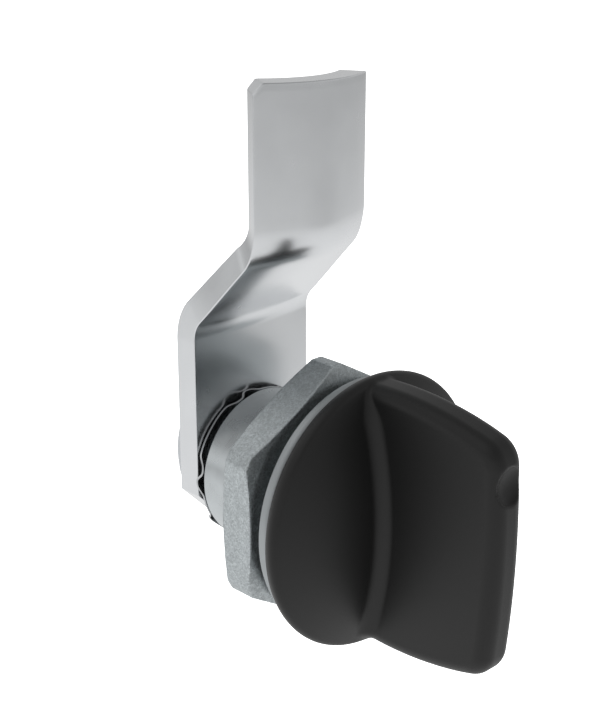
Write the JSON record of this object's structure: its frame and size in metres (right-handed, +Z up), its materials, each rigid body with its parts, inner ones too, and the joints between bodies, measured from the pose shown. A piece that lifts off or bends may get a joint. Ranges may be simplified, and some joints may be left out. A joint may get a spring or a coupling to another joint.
{
  "type": "quarter-turn cam latch",
  "caption": "Panel cam latch: a black wing knob turns a spindle in a flanged zinc housing clamped by a hexagon nut, swinging a cranked steel cam a quarter turn.",
  "frame": {"origin": "on the turning axis, in the plane of the flange's back face, where the panel's front lies", "axes": "+Y along the turning axis from the knob to the cam, +Z up along the cam at rest, +X to the right as seen from the knob"},
  "size_m": [0.031, 0.0457, 0.0614],
  "materials": {
    "black_plastic": "moulded satin black polyamide",
    "bright_steel": "bright zinc-plated steel",
    "die_cast_zinc": "satin die-cast zinc",
    "seal_rubber": "moulded nitrile rubber",
    "galvanised_steel": "spangled galvanised steel",
    "spring_steel": "bright spring steel",
    "stainless_steel": "tumbled satin stainless steel"
  },
  "bodies": {
    "fixed_housing": {"housing": "die_cast_zinc", "flange_seal": "seal_rubber", "panel_nut": "galvanised_steel", "thrust_washer": "bright_steel"},
    "turning_spindle": {"knob": "black_plastic", "knob_pin": "bright_steel", "spindle": "die_cast_zinc", "spindle_seal": "seal_rubber", "retaining_ring": "spring_steel", "wave_washer": "spring_steel", "cam": "stainless_steel", "lock_washer": "spring_steel", "cam_screw": "bright_steel"}
  },
  "joints": [
    {"name": "knob_turn", "type": "hinge", "parent": "fixed_housing", "child": "turning_spindle", "pos_m": [0, 0, 0], "axis": [0, 1, 0], "range_deg": [0, 90]}
  ]
}
